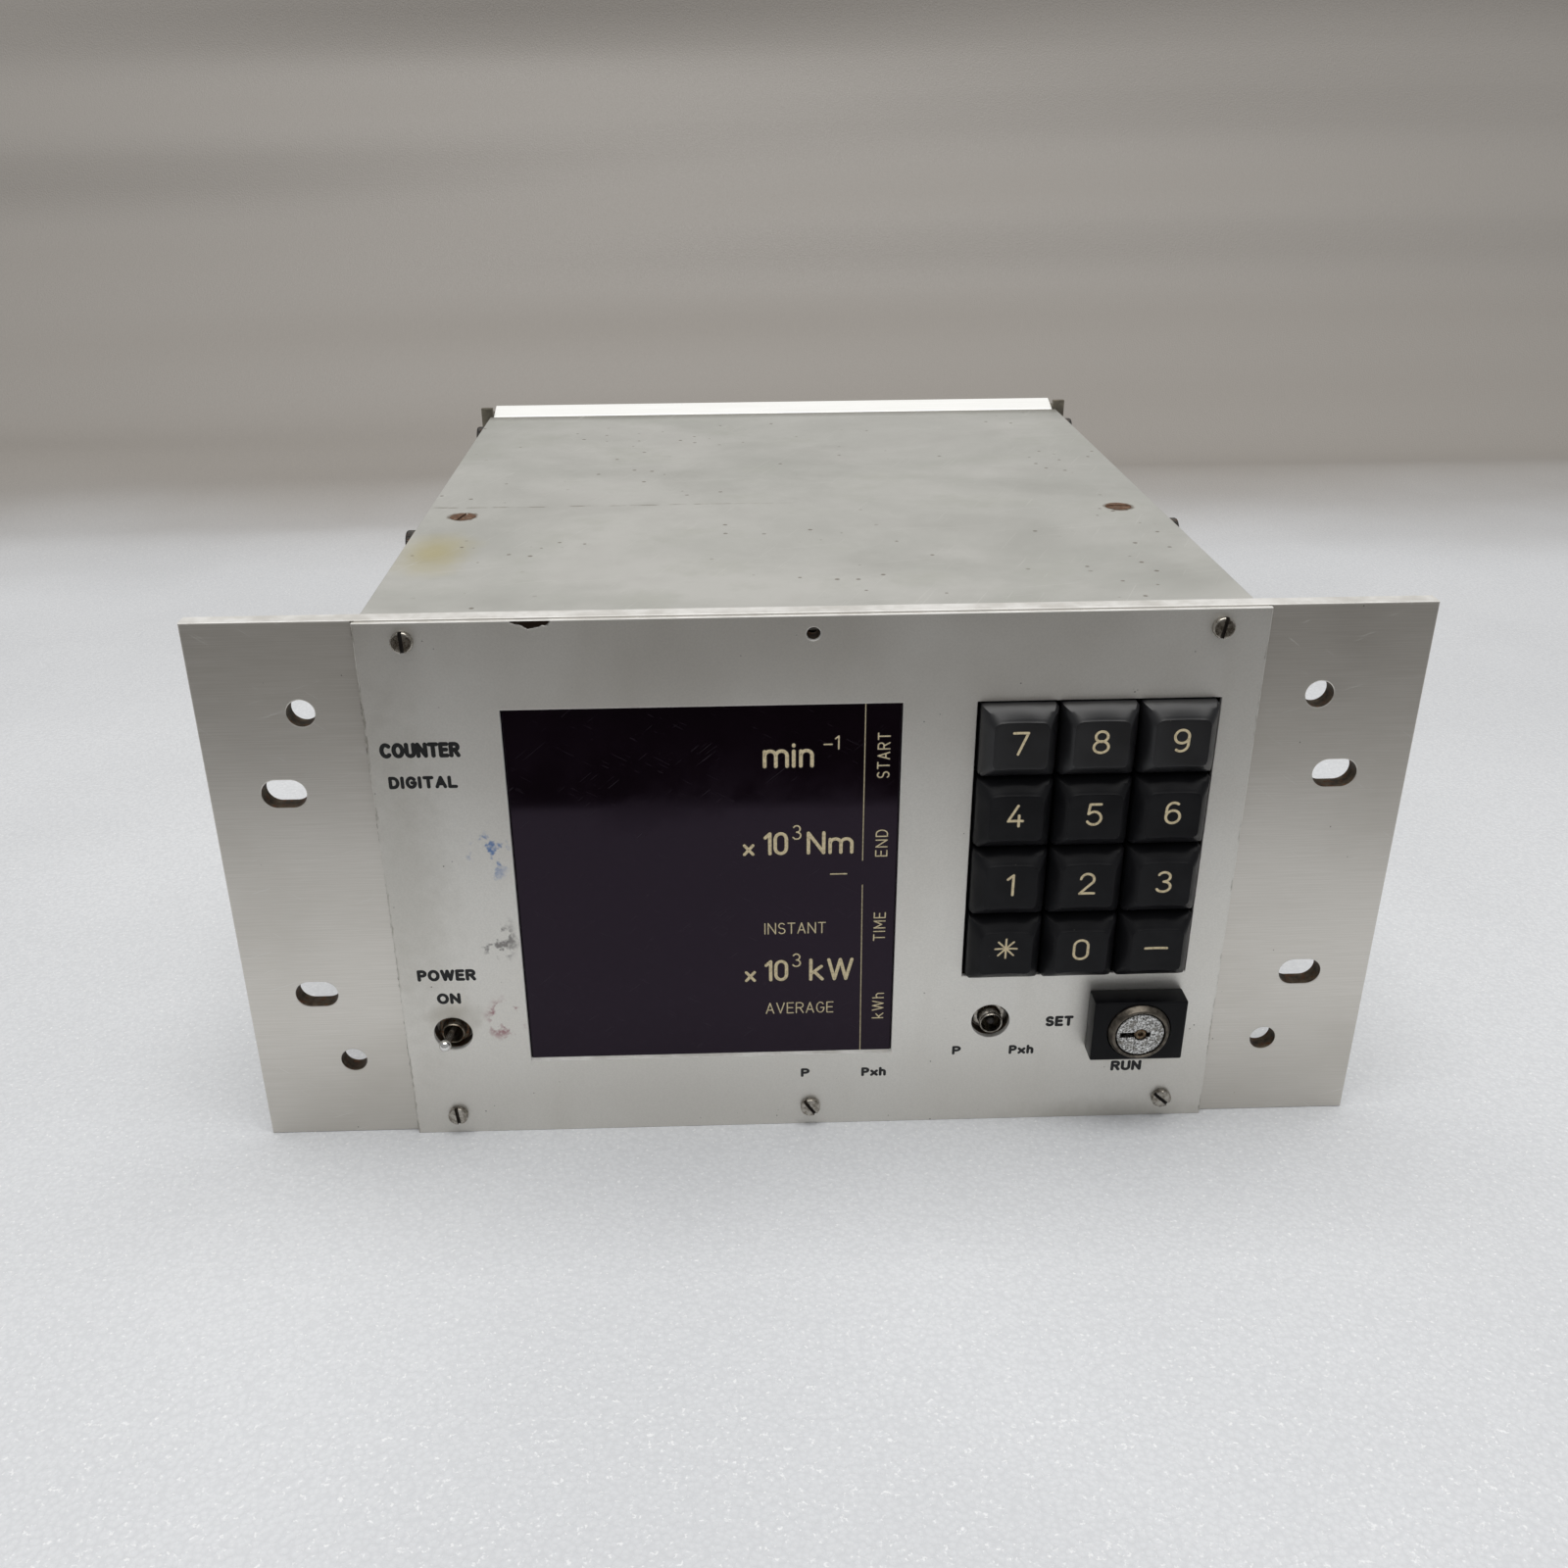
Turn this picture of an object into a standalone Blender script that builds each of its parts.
"""Panel-mounted electronic counter: an aluminium mounting plate with a keypad, a display
window, two toggle switches and a key lock, and a sheet-metal case behind it.

Metres, +Z up. The panel faces -Y. The origin is at the centre of the bottom of the
bounding box. Depths are counted from the front face of the mounting plate, see at().
"""

import math

import bmesh
import bpy
from mathutils import Matrix, Vector

# ---- driving dimensions ------------------------------------------------------------
GAP = 0.0003  # clearance between pieces that touch on the real object
PAST = 0.0010  # how far a cutter reaches past the face it opens
BOARD_T = 0.0016  # every circuit board

PLATE_W = 0.2900
PLATE_H = 0.1443
PLATE_T = 0.0048
SHEET_W = 0.2112
SHEET_H = 0.1440
SHEET_T = 0.0015

CASE_W = 0.2168
CASE_TOP = 0.1396
CASE_BOTTOM = PLATE_H - CASE_TOP
COVER_T = 0.0015
SIDE_T = 0.0016
CASE_REAR = 0.2503  # depth at which the covers end
REAR_END = 0.2620

SLOT_X = 0.1272
SLOT_Z = (0.1009, 0.0439)
SLOT_L = 0.0107
SLOT_W = 0.0072
EAR_HOLE_X = 0.1203
EAR_HOLE_Z = (0.1217, 0.0233)
EAR_HOLE_R = 0.0033

WINDOW = (-0.0738, 0.0225, 0.0210, 0.1221)  # x low, z low, x high, z high
FILTER_LIP = 0.0026
FILTER_T = 0.0030
FILTER_PROUD = 0.0005  # how far the filter's raised part stands out of the plate
DISPLAY_BOARD = 0.0140
DIGIT_ROWS = 4
DIGIT_ROW_TOP = 0.1082
DIGIT_ROW_PITCH = 0.0240
DIGIT_ROW_H = 0.0170
DIGIT_ROW_X = (0.0060, 0.0600)  # from the window's left edge
DIGIT_ROW_FRONT = 0.0060

KEY_PITCH = 0.01905
KEY_SIZE = 0.01845
KEY_ROWS = 4
KEY_COLUMNS = 3
KEYPAD_X = 0.06748
KEYPAD_Z = 0.08394
KEYPAD_OPENING = (0.0579, 0.0762)
KEY_HEIGHT = 0.0070
KEY_SKIRT = 0.0025  # height at which the skirt turns into the sloped crown
KEY_CROWN = (0.0027, 0.0032)  # how far the crown draws in, across and upwards
KEY_DISH = 0.00075
KEY_CORNER = 0.0008
KEY_CROWN_CORNER = 0.0009
KEYPAD_MARGIN = 0.0005
SWITCH_BLOCK = (0.0080, 0.0140)  # front and back depth
KEY_BACK = 0.0030
STEM_END = 0.0095
STEM_W = 0.0050
KEY_NAMES = (("1", "4", "7"), ("2", "5", "8"), ("3", "6", "9"))
KEY_BOTTOM_ROW = ("star", "0", "minus")

SWITCH_Z = 0.0317
POWER_X = -0.0933
SELECT_X = 0.0468
SWITCH_HOLE_R = 0.0050
BUSHING_R = 0.0030
BUSHING_BORE_R = 0.0023
LEVER_TILT = math.radians(15.0)
LEVER_LENGTH = 0.0153
POWER_PIVOT = 0.0025
POWER_RIM = -0.0015
SELECT_PIVOT = 0.0013
SELECT_RIM = -0.0027
STUB_LENGTH = 0.0030
COUNTERBORE = 0.0030
LEVER_BALL_R = 0.00135
SWITCH_BODY = (0.0080, 0.0100, 0.0130)  # width, depth and height
NUT_R = 0.0046
NUT_T = 0.0016
NUT_TURN = 20

LOCK_X = 0.0842
LOCK_Z = 0.0319
LOCK_W = 0.0240
LOCK_H = 0.0178
LOCK_FACE = -0.0080
LOCK_RIM = -0.0098
LOCK_BARREL_R = 0.0080
LOCK_PLUG_R = 0.0062
LOCK_BARREL_END = 0.0200
LOCK_EDGE = 0.0004
KEYWAY_W = 0.0014
KEYWAY_X = (-0.0080, 0.0020)
KEYWAY_ROUND = (-0.0004, 0.0016)  # offset in X and radius of the keyway's round part
LOCK_TAIL = (0.0030, 0.0050)  # radius and length of the plug's tail
LOCK_BLOCK = (0.0190, 0.0140)  # width and depth of the contact block

SCREW_X = 0.0944
SCREW_TOP_Z = 0.1396
SCREW_BOTTOM_Z = 0.0060
SCREW_HEAD_R = 0.0026
SCREW_HEAD_H = 0.0014
SCREW_SHANK_R = 0.0015
SCREW_EDGE = 0.0003
SCREW_SLOT_W = 0.0008
SCREW_SLOT_DEPTH = 0.0008
SCREW_SLOTS = {"top_left": 92, "top_right": 80, "bottom_left": 96, "bottom_right": -42}
MIDDLE_SCREW_X = -0.0003
MIDDLE_SCREW_SLOT = -55

COVER_SCREW_X = 0.0971
COVER_SCREW_Y = 0.1072
COVER_SCREW_R = 0.0038
COVER_CONE_H = 0.0019
COVER_SHANK_R = 0.0020
COVER_SCREW_L = 0.0130
SIDE_BOLT_Y = {"front": 0.0960, "rear": 0.2380}
SIDE_BOLT_Z = 0.1345
SIDE_BOLT_R = 0.0040
SIDE_BOLT_SHANK_R = 0.0015
SIDE_BOLT_SHANK_L = 0.0080
SIDE_BOLT_H = 0.0036
SIDE_BOLT_EDGE = 0.0004
SIDE_BOLT_SOCKET = (0.0023, 0.0020)  # radius and depth

REAR_RAIL_END = 0.1070
REAR_RAIL_H = 0.0100
REAR_RAIL_PROUD = 0.0025
REAR_RAIL_BACK = 0.2605
REAR_RAIL_ROUND = 0.0012
REAR_RAIL_SLOPE = 0.0023  # how far the rail's outer face drops towards the cover
REAR_BRACKET_END = 0.1117
REAR_BRACKET_H = 0.1428
REAR_BRACKET_T = 0.0020
REAR_PANEL_FRONT = 0.2530
REAR_PANEL_BACK = 0.2550

TERMINAL_PITCH = 0.0095
TERMINAL_BARRIER = 0.0012
TERMINAL_H = 0.0180
TERMINAL_DEPTH = 0.0034
FUSE_X = -0.0820
FUSE_Z = 0.0980
FUSE_R = 0.0062

BOARD_X = (-0.0850, 0.0350)
BOARD_Y = (0.0450, 0.2150)
BOARD_LIFT = 0.0100
POST_INSET = 0.0050
POST_R = 0.0030
TRANSFORMER_X = 0.0640
TRANSFORMER_Y = 0.2000
TRANSFORMER_SIZE = (0.0400, 0.0600, 0.0500)
COIL_PROUD = 0.0025
COIL_INSET = 0.0120
COIL_INSET_Z = 0.0090

FRONTMOST = POWER_PIVOT - LEVER_LENGTH * math.cos(LEVER_TILT) - LEVER_BALL_R
PLATE_Y = -(FRONTMOST + REAR_END) / 2


# ---- helpers -----------------------------------------------------------------------
def at(depth):
    """World Y of a depth behind the front face of the mounting plate."""
    return PLATE_Y + depth


def add_box(bm, low, high):
    """A box between two corners."""
    size = [h - l for l, h in zip(low, high)]
    middle = [(h + l) / 2 for l, h in zip(low, high)]
    matrix = Matrix.Translation(middle) @ Matrix.Diagonal((*size, 1))
    return bmesh.ops.create_cube(bm, size=1, matrix=matrix)["verts"]


def add_turned(bm, profile, centre, axis="Y", segments=32):
    """A solid of revolution: profile is (radius, distance along the axis) from end to end."""
    turn = {
        "X": Matrix.Rotation(math.radians(90), 4, "Y"),
        "Y": Matrix.Rotation(math.radians(-90), 4, "X"),
        "Z": Matrix.Identity(4),
    }[axis]
    place = Matrix.Translation(centre) @ turn
    rings = []
    for radius, along in profile:
        angles = [2 * math.pi * i / segments for i in range(segments)]
        points = [(radius * math.cos(a), radius * math.sin(a), along) for a in angles]
        rings.append([bm.verts.new(place @ Vector(p)) for p in points])
    skin_rings(bm, rings)


def skin_rings(bm, rings):
    """A closed body: quads between neighbouring rings of vertices, and a face on each end."""
    count = len(rings[0])
    faces = [bm.faces.new(reversed(rings[0])), bm.faces.new(rings[-1])]
    for lower, upper in zip(rings, rings[1:]):
        for i in range(count):
            j = (i + 1) % count
            faces.append(bm.faces.new((lower[i], lower[j], upper[j], upper[i])))
    bm.normal_update()
    volume = sum(f.calc_center_median().dot(f.normal) * f.calc_area() for f in faces)
    if volume < 0:
        bmesh.ops.reverse_faces(bm, faces=faces)


def add_cylinder(bm, centre, radius, start, end, axis="Y", segments=32):
    """A plain cylinder. centre has its position, start and end are along the axis."""
    add_turned(bm, [(radius, start), (radius, end)], centre, axis, segments)


def add_prism(bm, outline, low, high, axis="Y"):
    """An outline extruded along an axis. It has (x, z) points for Y, (x, y) for Z, (y, z) for X."""
    order = {
        "Y": lambda a, b, c: (a, c, b),
        "Z": lambda a, b, c: (a, b, c),
        "X": lambda a, b, c: (c, a, b),
    }[axis]
    rings = [[bm.verts.new(order(a, b, c)) for a, b in outline] for c in (low, high)]
    skin_rings(bm, rings)


def stadium(x, z, length, width, steps=8):
    """Outline of a slot with round ends, lying along X."""
    reach = (length - width) / 2
    points = []
    for side, start in ((1, -90), (-1, 90)):
        for i in range(steps + 1):
            a = math.radians(start + 180 * i / steps)
            points.append(
                (x + side * reach + width / 2 * math.cos(a), z + width / 2 * math.sin(a))
            )
    return points


def polygon(x, z, radius, corners, start=0.0):
    """Outline of a regular polygon."""
    angles = [math.radians(start) + 2 * math.pi * i / corners for i in range(corners)]
    return [(x + radius * math.cos(a), z + radius * math.sin(a)) for a in angles]


def make(name, bm, material, origin=(0, 0, 0), smooth=True):
    """One object from a bmesh in world coordinates, with its origin at a chosen point."""
    mesh = bpy.data.meshes.new(name)
    bm.transform(Matrix.Translation(-Vector(origin)))
    bm.to_mesh(mesh)
    bm.free()
    if smooth:
        mesh.shade_smooth()
        mesh.set_sharp_from_angle(angle=math.radians(35))
    mesh.materials.append(material)
    obj = bpy.data.objects.new(name, mesh)
    obj.location = origin
    bpy.context.scene.collection.objects.link(obj)
    return obj


def boolean(obj, name, bm, operation="DIFFERENCE"):
    """Cuts a bmesh in world coordinates out of an object, or joins it on."""
    tool = make(name, bm, obj.data.materials[0], smooth=False)
    tool.hide_render = True
    tool.display_type = "WIRE"
    modifier = obj.modifiers.new(name, "BOOLEAN")
    modifier.operation = operation
    modifier.object = tool
    modifier.solver = "EXACT"


def finish(name, color, roughness, metallic=0.0):
    """A Principled material."""
    material = bpy.data.materials.new(name)
    material.use_nodes = True
    shader = material.node_tree.nodes["Principled BSDF"]
    shader.inputs["Base Color"].default_value = (*color, 1)
    shader.inputs["Roughness"].default_value = roughness
    shader.inputs["Metallic"].default_value = metallic
    return material


def make_materials():
    """Every finish on the counter, by name."""
    return {
        "anodised": finish("anodised", (0.55, 0.54, 0.51), 0.45, 0.8),
        "plate": finish("plate", (0.50, 0.49, 0.47), 0.40, 0.9),
        "case": finish("case", (0.48, 0.48, 0.45), 0.50, 0.8),
        "rail": finish("rail", (0.80, 0.80, 0.78), 0.30, 0.9),
        "bracket": finish("bracket", (0.20, 0.19, 0.16), 0.55, 0.6),
        "filter": finish("filter", (0.008, 0.004, 0.008), 0.12),
        "key": finish("key", (0.022, 0.023, 0.024), 0.42),
        "bezel": finish("bezel", (0.012, 0.012, 0.014), 0.40),
        "nickel": finish("nickel", (0.45, 0.43, 0.38), 0.35, 1.0),
        "chrome": finish("chrome", (0.75, 0.75, 0.74), 0.12, 1.0),
        "bronze": finish("bronze", (0.16, 0.13, 0.09), 0.45, 0.8),
        "steel_dark": finish("steel_dark", (0.05, 0.05, 0.05), 0.50, 0.7),
        "rust": finish("rust", (0.16, 0.09, 0.06), 0.60, 0.5),
        "board": finish("board", (0.03, 0.12, 0.06), 0.50),
        "black": finish("black", (0.02, 0.02, 0.02), 0.50),
        "digits": finish("digits", (0.05, 0.01, 0.01), 0.40),
        "lamination": finish("lamination", (0.12, 0.11, 0.10), 0.55, 0.7),
    }


# ---- front panel -------------------------------------------------------------------
def panel_screw_places():
    """Name, x, z and slot angle of each screw on the front sheet."""
    places = []
    for name, angle in SCREW_SLOTS.items():
        x = SCREW_X if "right" in name else -SCREW_X
        z = SCREW_TOP_Z if "top" in name else SCREW_BOTTOM_Z
        places.append((name, x, z, angle))
    places.append(("bottom_middle", MIDDLE_SCREW_X, SCREW_BOTTOM_Z, MIDDLE_SCREW_SLOT))
    return places


def screw_hole_places():
    """The screw holes: one more than there are screws, because the top middle one is empty."""
    return [place[1:3] for place in panel_screw_places()] + [(MIDDLE_SCREW_X, SCREW_TOP_Z)]


def window_box(bm, margin, front, back):
    """The display window's space, grown by a margin."""
    x0, z0, x1, z1 = WINDOW
    low = (x0 - margin, at(front), z0 - margin)
    add_box(bm, low, (x1 + margin, at(back), z1 + margin))


def keypad_box(bm, margin, front, back):
    """The keypad opening's space, grown by a margin."""
    half_w = KEYPAD_OPENING[0] / 2 + margin
    half_h = KEYPAD_OPENING[1] / 2 + margin
    low = (KEYPAD_X - half_w, at(front), KEYPAD_Z - half_h)
    add_box(bm, low, (KEYPAD_X + half_w, at(back), KEYPAD_Z + half_h))


def make_base_plate(materials):
    """The thick mounting plate with the ears, its fixing slots and every opening."""
    bm = bmesh.new()
    add_box(bm, (-PLATE_W / 2, at(0), 0), (PLATE_W / 2, at(PLATE_T), PLATE_H))
    plate = make("base_plate", bm, materials["plate"])
    front, back = -PAST, PLATE_T + PAST
    cut = bmesh.new()
    for side in (-1, 1):
        for z in SLOT_Z:
            outline = stadium(side * SLOT_X, z, SLOT_L, SLOT_W)
            add_prism(cut, outline, at(front), at(back))
        for z in EAR_HOLE_Z:
            add_cylinder(cut, (side * EAR_HOLE_X, PLATE_Y, z), EAR_HOLE_R, front, back)
    window_box(cut, FILTER_LIP + GAP, front, back)
    keypad_box(cut, KEYPAD_MARGIN, front, back)
    for x in (POWER_X, SELECT_X):
        steps = [(SWITCH_HOLE_R, front), (SWITCH_HOLE_R, COUNTERBORE)]
        steps += [(BUSHING_R + GAP, COUNTERBORE), (BUSHING_R + GAP, back)]
        add_turned(cut, steps, (x, PLATE_Y, SWITCH_Z))
    lock = (LOCK_X, PLATE_Y, LOCK_Z)
    add_cylinder(cut, lock, LOCK_BARREL_R + GAP, front, back, segments=48)
    for x, z in screw_hole_places():
        add_cylinder(cut, (x, PLATE_Y, z), SCREW_SHANK_R + GAP, front, back, segments=16)
    boolean(plate, "base_plate_cuts", cut)


def make_front_sheet(materials):
    """The thin anodised sheet with the legends, in front of the plate."""
    bm = bmesh.new()
    back = -GAP / 2
    add_box(bm, (-SHEET_W / 2, at(-SHEET_T), 0), (SHEET_W / 2, at(back), SHEET_H))
    sheet = make("front_sheet", bm, materials["anodised"])
    near, far = -SHEET_T - PAST, PAST
    cut = bmesh.new()
    window_box(cut, 0, near, far)
    keypad_box(cut, 0, near, far)
    for x in (POWER_X, SELECT_X):
        add_cylinder(cut, (x, PLATE_Y, SWITCH_Z), SWITCH_HOLE_R, near, far)
    lock = (LOCK_X, PLATE_Y, LOCK_Z)
    add_cylinder(cut, lock, LOCK_BARREL_R + GAP, near, far, segments=48)
    for x, z in screw_hole_places():
        add_cylinder(cut, (x, PLATE_Y, z), SCREW_SHANK_R + GAP / 2, near, far, segments=16)
    boolean(sheet, "front_sheet_cuts", cut)


def make_panel_screws(materials):
    """Slotted cheese-head screws that hold the front sheet."""
    top = -SHEET_T - GAP / 2
    for name, x, z, angle in panel_screw_places():
        centre = (x, PLATE_Y, z)
        bm = bmesh.new()
        face = top - SCREW_HEAD_H
        profile = [
            (SCREW_SHANK_R, PLATE_T),
            (SCREW_SHANK_R, top),
            (SCREW_HEAD_R, top),
            (SCREW_HEAD_R, face + SCREW_EDGE),
            (SCREW_HEAD_R - SCREW_EDGE, face),
        ]
        add_turned(bm, profile, centre, segments=24)
        screw = make(f"panel_screw_{name}", bm, materials["nickel"], origin=centre)
        slot = bmesh.new()
        reach = SCREW_HEAD_R + PAST
        low = (-reach, face - PAST, -SCREW_SLOT_W / 2)
        add_box(slot, low, (reach, face + SCREW_SLOT_DEPTH, SCREW_SLOT_W / 2))
        slot.transform(Matrix.Rotation(math.radians(-angle), 4, "Y"))
        slot.transform(Matrix.Translation(centre))
        boolean(screw, f"panel_screw_slot_{name}", slot)


# ---- display -----------------------------------------------------------------------
def make_display(materials):
    """The dark filter, the digit modules behind it and their board."""
    x0, z0, x1, z1 = WINDOW
    bm = bmesh.new()
    low = (x0 - FILTER_LIP, at(GAP), z0 - FILTER_LIP)
    add_box(bm, low, (x1 + FILTER_LIP, at(FILTER_T), z1 + FILTER_LIP))
    pane = make("display_filter", bm, materials["filter"])
    raised = bmesh.new()
    low = (x0 + GAP, at(-FILTER_PROUD), z0 + GAP)
    add_box(raised, low, (x1 - GAP, at(GAP + PAST), z1 - GAP))
    boolean(pane, "display_filter_step", raised, "UNION")

    bm = bmesh.new()
    add_box(bm, (x0, at(DISPLAY_BOARD), z0), (x1, at(DISPLAY_BOARD + BOARD_T), z1))
    make("display_board", bm, materials["board"])
    left, right = (x0 + reach for reach in DIGIT_ROW_X)
    for row in range(DIGIT_ROWS):
        middle = DIGIT_ROW_TOP - row * DIGIT_ROW_PITCH
        bm = bmesh.new()
        low = (left, at(DIGIT_ROW_FRONT), middle - DIGIT_ROW_H / 2)
        add_box(bm, low, (right, at(DISPLAY_BOARD - GAP), middle + DIGIT_ROW_H / 2))
        make(f"digit_row_{row + 1}", bm, materials["digits"])


# ---- keypad ------------------------------------------------------------------------
def key_places():
    """Name, x and z of every key, column by column."""
    places = []
    for column in range(KEY_COLUMNS):
        names = (KEY_BOTTOM_ROW[column], *KEY_NAMES[column])
        x = KEYPAD_X + (column - (KEY_COLUMNS - 1) / 2) * KEY_PITCH
        for row in range(KEY_ROWS):
            z = KEYPAD_Z + (row - (KEY_ROWS - 1) / 2) * KEY_PITCH
            places.append((names[row], x, z))
    return places


def key_ring(bm, x, z, depth, inset_x, inset_z, radius):
    """One rounded-square ring of a key's outline, with three points on each corner."""
    half_w = KEY_SIZE / 2 - inset_x - radius
    half_h = KEY_SIZE / 2 - inset_z - radius
    ring = []
    for quarter in range(4):
        sx = 1 if quarter in (0, 3) else -1
        sz = 1 if quarter in (0, 1) else -1
        for step in range(3):
            a = math.radians(90 * quarter + 45 * step)
            px = x + sx * half_w + radius * math.cos(a)
            pz = z + sz * half_h + radius * math.sin(a)
            ring.append(bm.verts.new((px, at(depth), pz)))
    return ring


def make_key(name, x, z, materials):
    """A key: skirt, crown that draws in along a curve, dished top and a square stem."""
    bm = bmesh.new()
    rings = [
        key_ring(bm, x, z, KEY_BACK, 0, 0, KEY_CORNER),
        key_ring(bm, x, z, -KEY_SKIRT, 0, 0, KEY_CORNER),
    ]
    for step in (1, 2, 3, 4):
        t = step / 4
        depth = -KEY_SKIRT - (KEY_HEIGHT - KEY_SKIRT) * t
        across, upwards = (crown * t**1.5 for crown in KEY_CROWN)
        rings.append(key_ring(bm, x, z, depth, across, upwards, KEY_CROWN_CORNER))
    skin_rings(bm, rings)
    key = make(f"key_{name}", bm, materials["key"], origin=(x, PLATE_Y, z))

    chord = KEY_SIZE / 2 - KEY_CROWN[0]
    radius = (chord**2 + KEY_DISH**2) / (2 * KEY_DISH)
    dish = bmesh.new()
    centre = (x, at(-KEY_HEIGHT - radius + KEY_DISH), z)
    add_cylinder(dish, centre, radius, -0.012, 0.012, axis="Z", segments=72)
    boolean(key, f"key_dish_{name}", dish)

    stem = bmesh.new()
    low = (x - STEM_W / 2, at(KEY_BACK - PAST), z - STEM_W / 2)
    add_box(stem, low, (x + STEM_W / 2, at(STEM_END), z + STEM_W / 2))
    boolean(key, f"key_stem_{name}", stem, "UNION")


def make_keypad(materials):
    """The keys, the switch plate that guides their stems, and the board behind it."""
    for name, x, z in key_places():
        make_key(name, x, z, materials)
    half_w = KEYPAD_OPENING[0] / 2
    half_h = KEYPAD_OPENING[1] / 2
    front, back = SWITCH_BLOCK
    bm = bmesh.new()
    low = (KEYPAD_X - half_w, at(front), KEYPAD_Z - half_h)
    add_box(bm, low, (KEYPAD_X + half_w, at(back), KEYPAD_Z + half_h))
    block = make("keypad_switch_block", bm, materials["black"])
    holes = bmesh.new()
    half = STEM_W / 2 + GAP
    for _, x, z in key_places():
        low = (x - half, at(front - PAST), z - half)
        add_box(holes, low, (x + half, at(back + PAST), z + half))
    boolean(block, "keypad_stem_holes", holes)
    bm = bmesh.new()
    low = (KEYPAD_X - half_w, at(back + GAP), KEYPAD_Z - half_h)
    add_box(bm, low, (KEYPAD_X + half_w, at(back + GAP + BOARD_T), KEYPAD_Z + half_h))
    make("keypad_board", bm, materials["board"])


# ---- switches and lock -------------------------------------------------------------
def make_switch_body(name, x, rim, pivot, materials):
    """A switch housing behind the plate with its threaded bushing, and the nut on it."""
    centre = (x, PLATE_Y, SWITCH_Z)
    bm = bmesh.new()
    width, deep, height = SWITCH_BODY
    low = (x - width / 2, at(PLATE_T + GAP), SWITCH_Z - height / 2)
    add_box(bm, low, (x + width / 2, at(PLATE_T + deep), SWITCH_Z + height / 2))
    body = make(f"{name}_body", bm, materials["bronze"])
    bushing = bmesh.new()
    add_turned(bushing, [(BUSHING_R, PLATE_T + PAST), (BUSHING_R, rim)], centre)
    boolean(body, f"{name}_bushing", bushing, "UNION")
    bore = bmesh.new()
    add_turned(bore, [(BUSHING_BORE_R, pivot + 0.0024), (BUSHING_BORE_R, rim - PAST)], centre)
    boolean(body, f"{name}_bore", bore)

    nut = bmesh.new()
    nut_front, nut_back = COUNTERBORE - GAP - NUT_T, COUNTERBORE - GAP
    outline = polygon(x, SWITCH_Z, NUT_R, 6, start=NUT_TURN)
    add_prism(nut, outline, at(nut_front), at(nut_back))
    ring = make(f"{name}_nut", nut, materials["nickel"])
    hole = bmesh.new()
    add_cylinder(hole, centre, BUSHING_R + GAP / 2, nut_front - PAST, nut_back + PAST)
    boolean(ring, f"{name}_nut_hole", hole)


def make_power_lever(materials):
    """The chromed toggle lever, tilted up to its ON position, turning about X."""
    pivot = Vector((POWER_X, at(POWER_PIVOT), SWITCH_Z))
    profile = [(0.0004, -0.0013), (0.0012, -0.0009), (0.0014, 0.0), (0.0009, 0.0012)]
    profile += [(0.0009, LEVER_LENGTH - 0.006), (0.00105, LEVER_LENGTH - 0.0013)]
    for step in range(1, 8):
        a = math.radians(-40 + 130 * step / 7)
        radius = max(LEVER_BALL_R * math.cos(a), 0.0002)
        profile.append((radius, LEVER_LENGTH + LEVER_BALL_R * math.sin(a)))
    bm = bmesh.new()
    add_turned(bm, profile, (0, 0, 0), axis="Z", segments=20)
    bm.transform(Matrix.Rotation(math.radians(90) - LEVER_TILT, 4, "X"))
    bm.transform(Matrix.Translation(pivot))
    make("power_lever", bm, materials["chrome"], origin=pivot)


def make_select_lever(materials):
    """The short lever stub of the selector switch, turning about Z."""
    pivot = Vector((SELECT_X, at(SELECT_PIVOT), SWITCH_Z))
    profile = [(0.0004, -0.0013), (0.0012, -0.0009), (0.0014, 0.0), (0.0011, 0.0008)]
    profile += [(0.0011, STUB_LENGTH - 0.0006), (0.0007, STUB_LENGTH)]
    bm = bmesh.new()
    add_turned(bm, profile, (0, 0, 0), axis="Z", segments=20)
    bm.transform(Matrix.Rotation(math.radians(90), 4, "X"))
    bm.transform(Matrix.Translation(pivot))
    make("select_lever", bm, materials["steel_dark"], origin=pivot)


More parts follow.
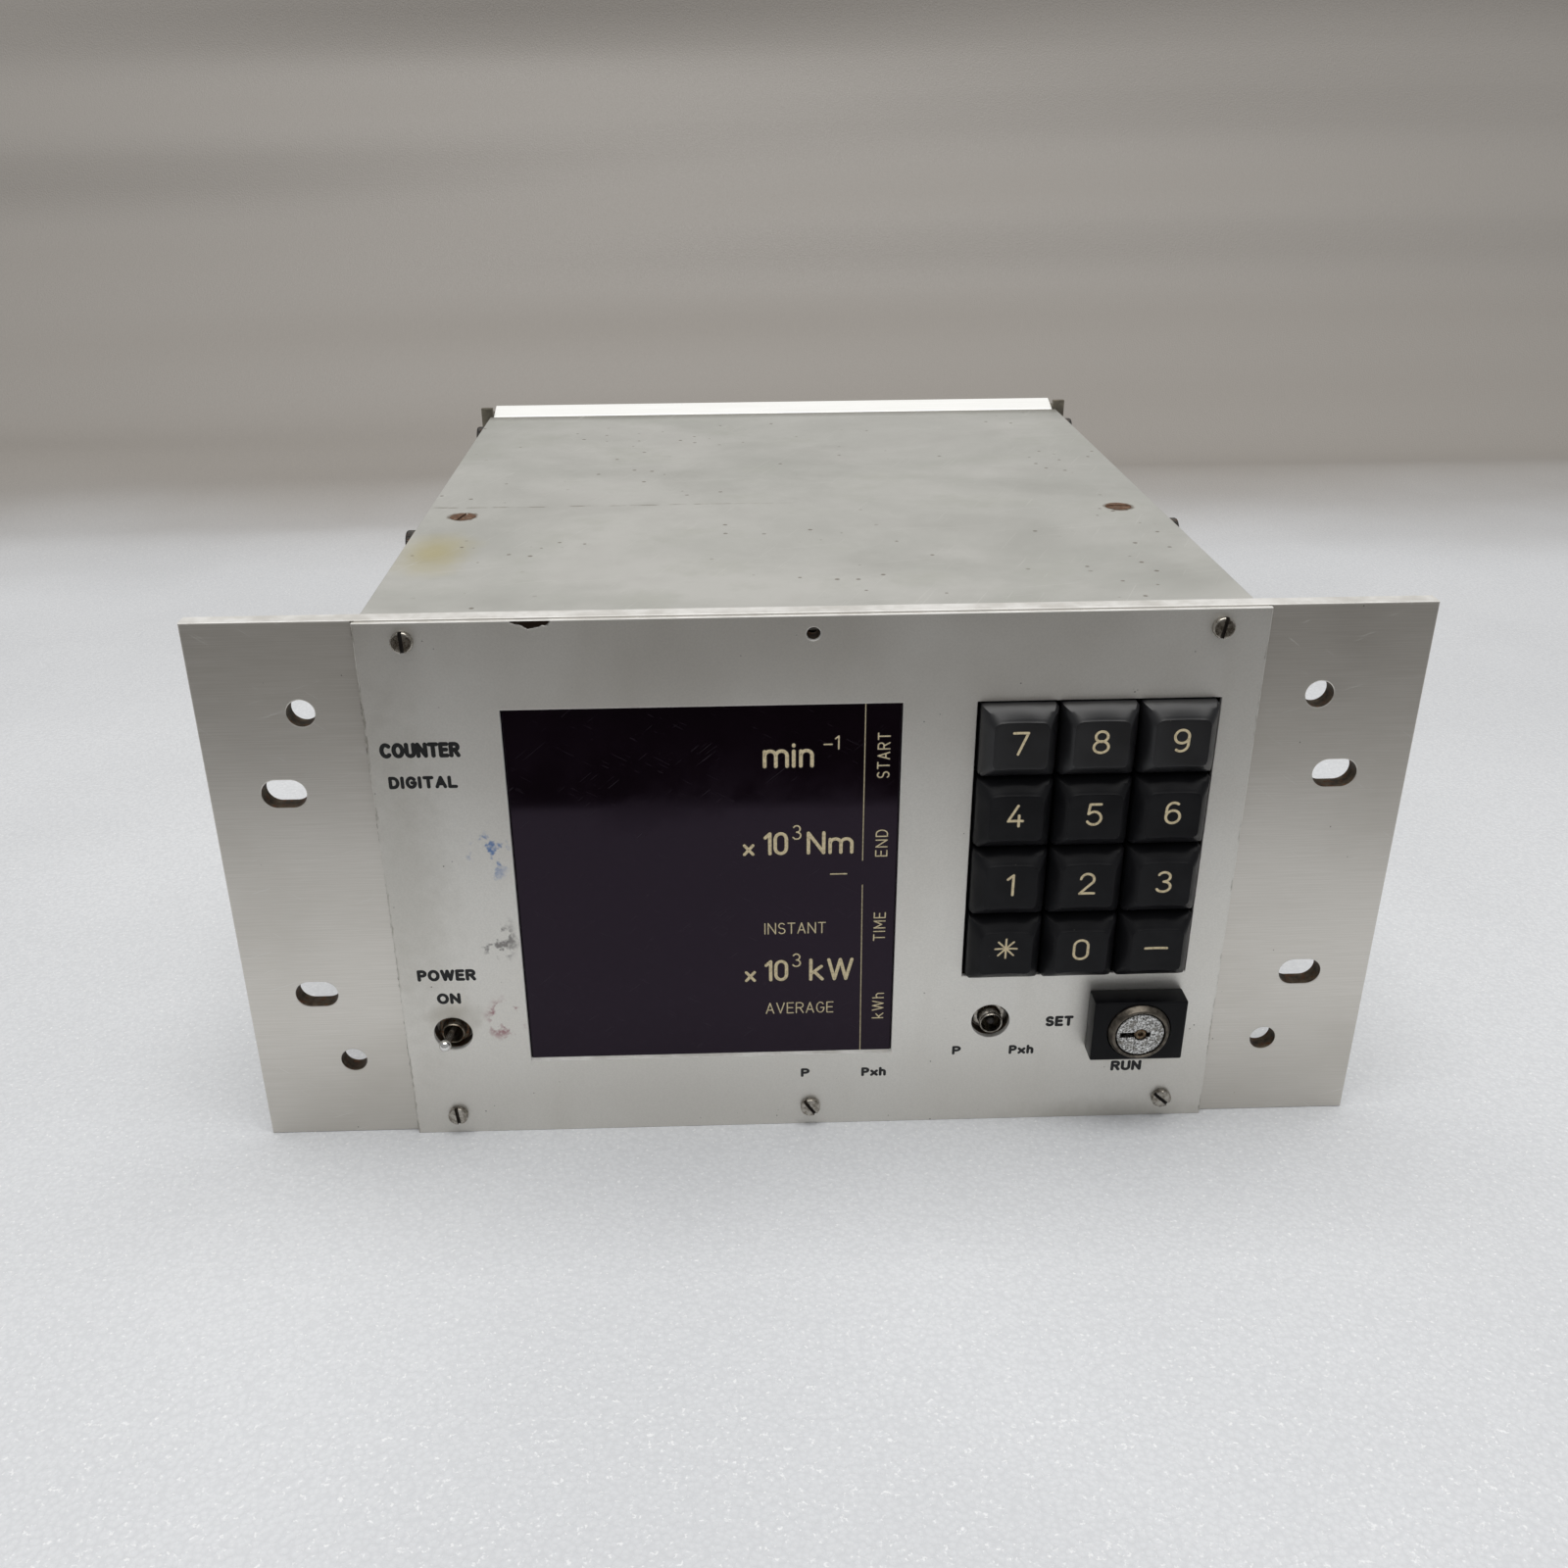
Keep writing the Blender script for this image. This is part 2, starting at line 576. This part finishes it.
def make_lock(materials):
    """The key lock: square bezel block, barrel, turning plug and the contact block behind."""
    centre = (LOCK_X, PLATE_Y, LOCK_Z)
    bm = bmesh.new()
    back = -SHEET_T - GAP / 2
    low = (LOCK_X - LOCK_W / 2, at(LOCK_FACE), LOCK_Z - LOCK_H / 2)
    add_box(bm, low, (LOCK_X + LOCK_W / 2, at(back), LOCK_Z + LOCK_H / 2))
    bezel = make("lock_bezel", bm, materials["bezel"])
    hole = bmesh.new()
    add_cylinder(hole, centre, LOCK_BARREL_R + GAP, LOCK_FACE - PAST, 0, segments=48)
    boolean(bezel, "lock_bezel_hole", hole)

    bm = bmesh.new()
    profile = [
        (LOCK_BARREL_R, LOCK_BARREL_END),
        (LOCK_BARREL_R, LOCK_FACE - GAP),
        (0.0076, LOCK_RIM + 0.0006),
        (0.0070, LOCK_RIM),
    ]
    add_turned(bm, profile, centre, segments=48)
    barrel = make("lock_barrel", bm, materials["nickel"])
    bore = bmesh.new()
    add_cylinder(bore, centre, LOCK_PLUG_R + GAP, LOCK_RIM - PAST, LOCK_BARREL_END + PAST, segments=48)
    boolean(barrel, "lock_barrel_bore", bore)

    plug_face = LOCK_RIM + LOCK_EDGE / 2
    tail_r, tail_l = LOCK_TAIL
    bm = bmesh.new()
    profile = [
        (tail_r, LOCK_BARREL_END + tail_l),
        (tail_r, LOCK_BARREL_END),
        (LOCK_PLUG_R, LOCK_BARREL_END),
        (LOCK_PLUG_R, plug_face + LOCK_EDGE),
        (LOCK_PLUG_R - LOCK_EDGE, plug_face),
    ]
    add_turned(bm, profile, centre, segments=48)
    plug = make("lock_plug", bm, materials["chrome"], origin=centre)
    keyway = bmesh.new()
    left, right = (LOCK_X + reach for reach in KEYWAY_X)
    low = (left, at(plug_face - PAST), LOCK_Z - KEYWAY_W / 2)
    add_box(keyway, low, (right, at(plug_face + 0.0080), LOCK_Z + KEYWAY_W / 2))
    boolean(plug, "lock_keyway", keyway)
    round_part = bmesh.new()
    offset, radius = KEYWAY_ROUND
    middle = (LOCK_X + offset, PLATE_Y, LOCK_Z)
    start, end = plug_face - PAST, plug_face + 0.0075
    add_cylinder(round_part, middle, radius, start, end, segments=20)
    boolean(plug, "lock_key_round", round_part)

    bm = bmesh.new()
    half, deep = LOCK_BLOCK[0] / 2, LOCK_BLOCK[1]
    low = (LOCK_X - half, at(LOCK_BARREL_END + GAP), LOCK_Z - half)
    add_box(bm, low, (LOCK_X + half, at(LOCK_BARREL_END + deep), LOCK_Z + half))
    block = make("lock_switch_block", bm, materials["black"])
    hole = bmesh.new()
    start, end = LOCK_BARREL_END - PAST, LOCK_BARREL_END + tail_l + PAST
    add_cylinder(hole, centre, tail_r + 0.0004, start, end, segments=24)
    boolean(block, "lock_switch_hole", hole)


# ---- case --------------------------------------------------------------------------
def countersink(bm, x, grow):
    """A cover screw's cone and shank, under the case's top face."""
    profile = [
        (COVER_SHANK_R + grow, -COVER_SCREW_L),
        (COVER_SHANK_R + grow, -COVER_CONE_H),
        (COVER_SCREW_R + grow, 0.0),
    ]
    if grow:
        profile.append((COVER_SCREW_R + grow, PAST))
    add_turned(bm, profile, (x, at(COVER_SCREW_Y), CASE_TOP), axis="Z", segments=24)


def make_cover(name, z_low, z_high, holes, materials):
    """A flat cover sheet, with or without its two countersunk holes."""
    bm = bmesh.new()
    low = (-CASE_W / 2, at(PLATE_T + GAP), z_low)
    add_box(bm, low, (CASE_W / 2, at(CASE_REAR), z_high))
    cover = make(name, bm, materials["case"])
    if holes:
        cut = bmesh.new()
        for side in (-1, 1):
            countersink(cut, side * COVER_SCREW_X, GAP / 2)
        boolean(cover, f"{name}_holes", cut)


def make_side_plate(side, name, materials):
    """A side plate bent to a channel, its flanges under the covers."""
    outer = CASE_W / 2 - GAP
    inner = outer - SIDE_T
    reach = outer - 0.0190
    top = CASE_TOP - COVER_T - GAP
    bottom = CASE_BOTTOM + COVER_T + GAP
    outline = [
        (outer, bottom),
        (outer, top),
        (reach, top),
        (reach, top - SIDE_T),
        (inner, top - SIDE_T),
        (inner, bottom + SIDE_T),
        (reach, bottom + SIDE_T),
        (reach, bottom),
    ]
    bm = bmesh.new()
    add_prism(bm, [(side * x, z) for x, z in outline], at(PLATE_T + GAP), at(CASE_REAR))
    plate = make(f"side_plate_{name}", bm, materials["case"])
    cut = bmesh.new()
    place = (side * COVER_SCREW_X, at(COVER_SCREW_Y), 0)
    add_cylinder(cut, place, COVER_SHANK_R + GAP, top - 0.004, top + PAST, axis="Z", segments=20)
    for y in SIDE_BOLT_Y.values():
        centre = (side * inner, at(y), SIDE_BOLT_Z)
        add_cylinder(cut, centre, SIDE_BOLT_SHANK_R + GAP, -0.003, 0.003, axis="X", segments=20)
    boolean(plate, f"side_plate_holes_{name}", cut)


def make_cover_screw(side, name, angle, materials):
    """A rusty countersunk screw in the top cover."""
    bm = bmesh.new()
    countersink(bm, side * COVER_SCREW_X, 0)
    place = Vector((side * COVER_SCREW_X, at(COVER_SCREW_Y), CASE_TOP))
    screw = make(f"cover_screw_{name}", bm, materials["rust"], origin=place)
    slot = bmesh.new()
    add_box(slot, (-0.005, -0.00045, -0.0008), (0.005, 0.00045, PAST))
    slot.transform(Matrix.Rotation(math.radians(angle), 4, "Z"))
    slot.transform(Matrix.Translation(place))
    boolean(screw, f"cover_screw_slot_{name}", slot)


def make_side_bolt(side, name, depth, materials):
    """A hexagon-socket bolt through the side plate."""
    face = CASE_W / 2 - GAP
    centre = (0, at(depth), SIDE_BOLT_Z)
    profile = [
        (SIDE_BOLT_SHANK_R, side * (face - SIDE_BOLT_SHANK_L)),
        (SIDE_BOLT_SHANK_R, side * (face + GAP)),
        (SIDE_BOLT_R, side * (face + GAP)),
        (SIDE_BOLT_R, side * (face + SIDE_BOLT_H - SIDE_BOLT_EDGE)),
        (SIDE_BOLT_R - SIDE_BOLT_EDGE, side * (face + SIDE_BOLT_H)),
    ]
    bm = bmesh.new()
    add_turned(bm, profile, centre, axis="X", segments=24)
    bolt = make(f"side_bolt_{name}", bm, materials["steel_dark"])
    socket = bmesh.new()
    radius, deep = SIDE_BOLT_SOCKET
    outline = polygon(at(depth), SIDE_BOLT_Z, radius, 6)
    ends = sorted((side * (face + SIDE_BOLT_H - deep), side * (face + SIDE_BOLT_H + PAST)))
    add_prism(socket, outline, *ends, axis="X")
    boolean(bolt, f"side_bolt_socket_{name}", socket)


def make_front_rails(materials):
    """The two cross rails behind the mounting plate that the covers meet."""
    inner = CASE_W / 2 - GAP - SIDE_T - GAP
    for name, z in (("top", CASE_TOP - 0.0118), ("bottom", CASE_BOTTOM + 0.0038)):
        bm = bmesh.new()
        add_box(bm, (-inner, at(PLATE_T + GAP), z), (inner, at(PLATE_T + 0.0090), z + 0.0080))
        rail = make(f"front_rail_{name}", bm, materials["case"])
        groove = bmesh.new()
        low = (-inner - PAST, at(PLATE_T + 0.0060), z + 0.0026)
        add_box(groove, low, (inner + PAST, at(PLATE_T + 0.0110), z + 0.0054))
        boolean(rail, f"front_rail_groove_{name}", groove)


def rail_outline(inner, outer, crown):
    """Section (y, z) of a rear rail: it slopes down to the cover. crown is 1 when outer is the top."""
    front, back = at(CASE_REAR + GAP), at(REAR_RAIL_BACK)
    outline = [(front, inner), (back, inner)]
    for step in range(5):
        a = math.radians(90 * step / 4)
        drop = REAR_RAIL_ROUND * (1 - math.sin(a))
        outline.append((back - REAR_RAIL_ROUND * (1 - math.cos(a)), outer - crown * drop))
    outline.append((front, outer - crown * REAR_RAIL_SLOPE))
    return outline


def make_rear_frame(materials):
    """The bright cross rails at the rear, the corner brackets and the rear panel."""
    top, bottom = CASE_TOP + REAR_RAIL_PROUD, CASE_BOTTOM - REAR_RAIL_PROUD
    for name, outer, crown in (("top", top, 1), ("bottom", bottom, -1)):
        inner = outer - crown * REAR_RAIL_H
        bm = bmesh.new()
        add_prism(bm, rail_outline(inner, outer, crown), -REAR_RAIL_END, REAR_RAIL_END, axis="X")
        make(f"rear_rail_{name}", bm, materials["rail"])
    for side, name in ((-1, "left"), (1, "right")):
        xs = sorted((side * (REAR_RAIL_END + GAP), side * REAR_BRACKET_END))
        front, fold, back = at(CASE_REAR + GAP), at(CASE_REAR + GAP + REAR_BRACKET_T), at(REAR_END)
        outline = [
            (front, 0),
            (back, 0),
            (back, CASE_TOP),
            (fold, CASE_TOP),
            (fold, REAR_BRACKET_H),
            (front, REAR_BRACKET_H),
        ]
        bm = bmesh.new()
        add_prism(bm, outline, *xs, axis="X")
        make(f"rear_bracket_{name}", bm, materials["bracket"])
    bm = bmesh.new()
    reach = REAR_RAIL_END - GAP
    low = (-reach, at(REAR_PANEL_FRONT), bottom + REAR_RAIL_H + GAP)
    add_box(bm, low, (reach, at(REAR_PANEL_BACK), top - REAR_RAIL_H - GAP))
    panel = make("rear_panel", bm, materials["case"])
    cut = bmesh.new()
    hole = (FUSE_X, PLATE_Y, FUSE_Z)
    add_cylinder(cut, hole, FUSE_R + GAP, REAR_PANEL_FRONT - 0.003, REAR_PANEL_BACK + 0.003)
    boolean(panel, "rear_panel_cuts", cut)


# ---- rear connections and electronics ----------------------------------------------
def make_terminals(name, x_low, count, z, materials):
    """A barrier terminal strip on the rear panel, open between its barriers."""
    width = count * TERMINAL_PITCH + TERMINAL_BARRIER
    front, back = REAR_PANEL_BACK + GAP, REAR_END
    low, high = z - TERMINAL_H / 2, z + TERMINAL_H / 2
    bm = bmesh.new()
    add_box(bm, (x_low, at(front), low), (x_low + width, at(back), high))
    strip = make(name, bm, materials["black"])
    cut = bmesh.new()
    for i in range(count):
        x = x_low + TERMINAL_BARRIER + i * TERMINAL_PITCH
        corner = (x + TERMINAL_PITCH - TERMINAL_BARRIER, at(back + PAST), high + PAST)
        add_box(cut, (x, at(back - TERMINAL_DEPTH), low - PAST), corner)
    boolean(strip, f"{name}_channels", cut)


def make_rear_parts(materials):
    """The terminal strips and the fuse holder."""
    make_terminals("signal_terminals", -0.0500, 12, 0.0560, materials)
    make_terminals("mains_terminals", 0.0620, 3, FUSE_Z, materials)
    seat = REAR_PANEL_BACK + GAP
    profile = [
        (FUSE_R, REAR_PANEL_FRONT - 0.0330),
        (FUSE_R, seat),
        (FUSE_R + 0.0023, seat),
        (FUSE_R + 0.0023, seat + 0.0012),
        (FUSE_R + 0.0006, seat + 0.0012),
        (FUSE_R + 0.0006, REAR_END - 0.0007),
        (FUSE_R - 0.0002, REAR_END),
    ]
    bm = bmesh.new()
    add_turned(bm, profile, (FUSE_X, PLATE_Y, FUSE_Z), segments=28)
    make("fuse_holder", bm, materials["black"])


def make_electronics(materials):
    """The main board on its posts and the mains transformer."""
    floor = CASE_BOTTOM + COVER_T + GAP
    board_z = floor + BOARD_LIFT
    low_x, high_x = BOARD_X
    low_y, high_y = BOARD_Y
    bm = bmesh.new()
    add_box(bm, (low_x, at(low_y), board_z), (high_x, at(high_y), board_z + BOARD_T))
    board = make("main_board", bm, materials["board"])
    posts = bmesh.new()
    for x in (low_x + POST_INSET, high_x - POST_INSET):
        for y in (low_y + POST_INSET, high_y - POST_INSET):
            add_cylinder(posts, (x, at(y), 0), POST_R, floor, board_z + BOARD_T / 3, "Z", 12)
    boolean(board, "main_board_posts", posts, "UNION")

    x, y = TRANSFORMER_X, TRANSFORMER_Y
    core_w, core_d, core_h = TRANSFORMER_SIZE
    bm = bmesh.new()
    low = (x - core_w / 2, at(y - core_d / 2), floor)
    add_box(bm, low, (x + core_w / 2, at(y + core_d / 2), floor + core_h))
    core = make("transformer", bm, materials["lamination"])
    coil = bmesh.new()
    coil_w, coil_d = core_w / 2 + COIL_PROUD, core_d / 2 - COIL_INSET
    low = (x - coil_w, at(y - coil_d), floor + COIL_INSET_Z)
    add_box(coil, low, (x + coil_w, at(y + coil_d), floor + core_h - COIL_INSET_Z))
    boolean(core, "transformer_coil", coil, "UNION")


def main():
    """Clears the scene and builds every sub-part."""
    for obj in list(bpy.data.objects):
        bpy.data.objects.remove(obj)
    materials = make_materials()
    make_base_plate(materials)
    make_front_sheet(materials)
    make_panel_screws(materials)
    make_display(materials)
    make_keypad(materials)
    make_switch_body("power_switch", POWER_X, POWER_RIM, POWER_PIVOT, materials)
    make_switch_body("select_switch", SELECT_X, SELECT_RIM, SELECT_PIVOT, materials)
    make_power_lever(materials)
    make_select_lever(materials)
    make_lock(materials)
    make_cover("top_cover", CASE_TOP - COVER_T, CASE_TOP, True, materials)
    make_cover("bottom_cover", CASE_BOTTOM, CASE_BOTTOM + COVER_T, False, materials)
    for side, name in ((-1, "left"), (1, "right")):
        make_side_plate(side, name, materials)
        make_cover_screw(side, name, 76 if side < 0 else -4, materials)
        for end, depth in SIDE_BOLT_Y.items():
            make_side_bolt(side, f"{end}_{name}", depth, materials)
    make_front_rails(materials)
    make_rear_frame(materials)
    make_rear_parts(materials)
    make_electronics(materials)


main()
